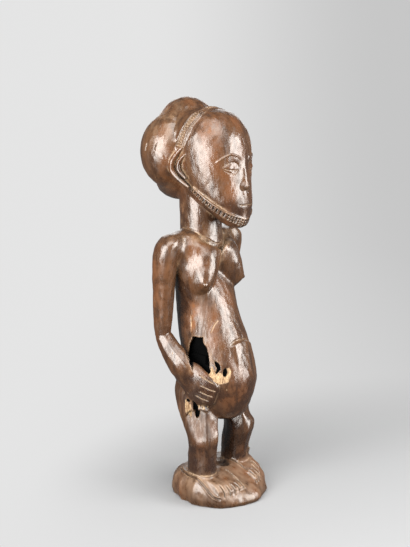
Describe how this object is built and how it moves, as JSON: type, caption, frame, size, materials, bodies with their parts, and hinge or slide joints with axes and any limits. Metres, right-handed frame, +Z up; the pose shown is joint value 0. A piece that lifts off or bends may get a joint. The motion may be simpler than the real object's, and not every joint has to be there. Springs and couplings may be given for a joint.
{
  "type": "carved wooden ancestor figure",
  "caption": "Standing ancestor figure carved from one block of hardwood, hands on a swelling belly, cross-shaped hair and a round base.",
  "frame": {"origin": "middle of the flat underside of the round base", "axes": "+Z up, the figure faces -Y, its own right side is at -X"},
  "size_m": [0.218, 0.2097, 0.68],
  "materials": {
    "aged_hardwood": "dark brown hardwood with a worn semi-gloss patina, reddish wear, ochre dust in the cuts and pale wood at the breaks"
  },
  "bodies": {
    "root": {"carved_figure": "aged_hardwood"}
  },
  "joints": []
}
